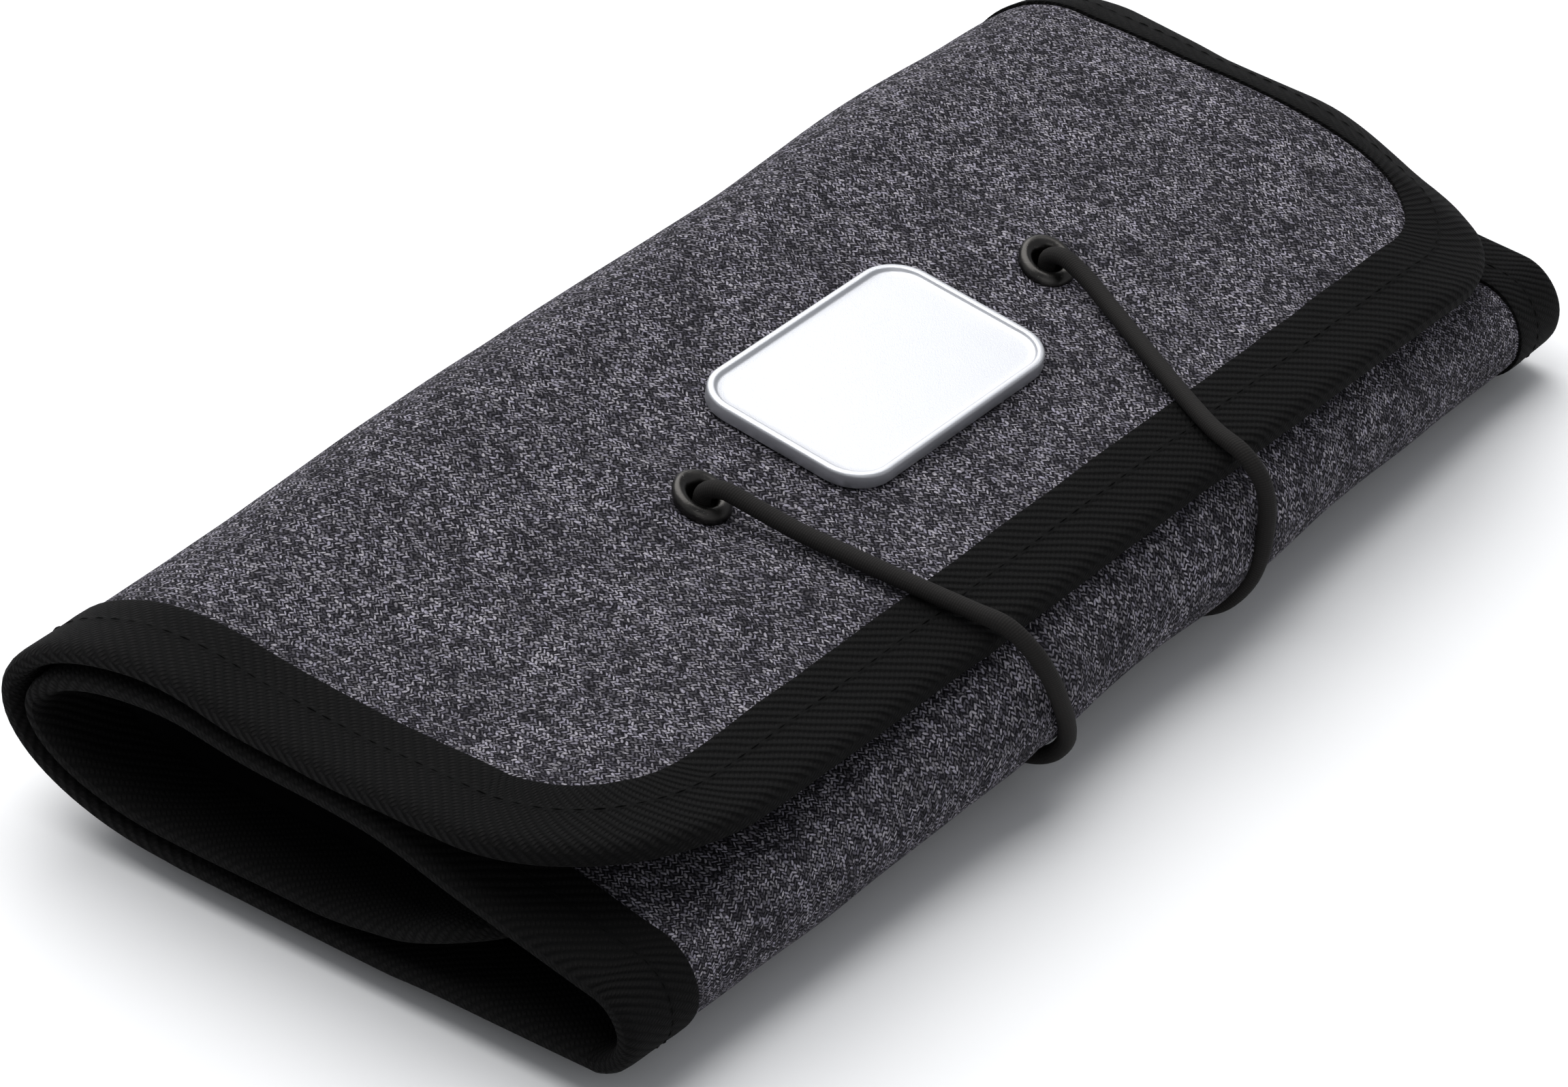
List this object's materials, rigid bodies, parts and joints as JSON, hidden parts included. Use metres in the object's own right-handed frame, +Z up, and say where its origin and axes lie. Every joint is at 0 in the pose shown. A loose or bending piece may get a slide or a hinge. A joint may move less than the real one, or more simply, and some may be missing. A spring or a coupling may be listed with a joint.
{
  "type": "folding solar blanket",
  "caption": "Soft folding solar blanket, closed: bound woven panels folded in a flat spiral, with a badge on the flap and an elastic loop that holds it shut.",
  "frame": {"origin": "under the middle of the folded blanket, on the surface that it lies on", "axes": "+X along the folds, +Y towards the back fold, +Z up through the stack of panels"},
  "size_m": [0.266, 0.1259, 0.048],
  "materials": {
    "woven": "heathered charcoal weave, matt",
    "tape": "black herringbone tape, matt",
    "lining": "black plain weave, matt",
    "solar_cells": "dark blue cells under a clear matt film",
    "badge_aluminium": "satin, fine blasted",
    "gunmetal": "gunmetal, satin",
    "elastic": "braided black elastic, matt",
    "black_plastic": "moulded, fine grain",
    "circuit_board": "green solder mask",
    "socket_steel": "plated, satin",
    "ribbon": "flat ribbon lead, satin",
    "stiffener_board": "plain sheet, matt"
  },
  "bodies": {
    "base": {"bottom_binding_left": "tape", "bottom_binding_right": "tape", "bottom_lining": "lining", "bottom_shell": "woven", "bottom_solar_module": "solar_cells", "front_fold_binding_left": "tape", "front_fold_binding_right": "tape", "front_fold_lining": "lining", "front_fold_shell": "woven", "front_lead": "ribbon", "inner_binding_front": "tape", "inner_binding_left": "tape", "inner_binding_right": "tape", "inner_fold_binding_left": "tape", "inner_fold_binding_right": "tape", "inner_fold_lining": "lining", "inner_fold_shell": "woven", "inner_lead": "ribbon", "inner_lining": "lining", "inner_shell": "woven", "inner_solar_module": "solar_cells", "loop_keeper": "tape", "middle_binding_left": "tape", "middle_binding_right": "tape", "middle_lining": "lining", "middle_shell": "woven", "middle_solar_module": "solar_cells", "regulator_board": "circuit_board", "regulator_case_lower": "black_plastic", "regulator_case_upper": "black_plastic", "usb_socket": "socket_steel"},
    "back_spine": {"back_spine_binding_left": "tape", "back_spine_binding_right": "tape", "back_spine_lining": "lining", "back_spine_shell": "woven"},
    "flap": {"badge": "badge_aluminium", "cord_stop_left": "black_plastic", "cord_stop_right": "black_plastic", "elastic_cord": "elastic", "eyelet_left": "gunmetal", "eyelet_right": "gunmetal", "eyelet_washer_left": "gunmetal", "eyelet_washer_right": "gunmetal", "flap_binding": "tape", "flap_fold_binding_left": "tape", "flap_fold_binding_right": "tape", "flap_fold_lining": "lining", "flap_fold_shell": "woven", "flap_lining": "lining", "flap_shell": "woven", "flap_stiffener": "stiffener_board"}
  },
  "joints": [
    {"name": "spine_fold", "type": "hinge", "parent": "base", "child": "back_spine", "pos_m": [0, 0.05484, 0.00516], "axis": [-1, 0, 0], "range_deg": [0, 90]},
    {"name": "flap_fold", "type": "hinge", "parent": "back_spine", "child": "flap", "pos_m": [0, 0.05484, 0.04284], "axis": [-1, 0, 0], "range_deg": [0, 94], "deforming": ["elastic_cord"]}
  ]
}
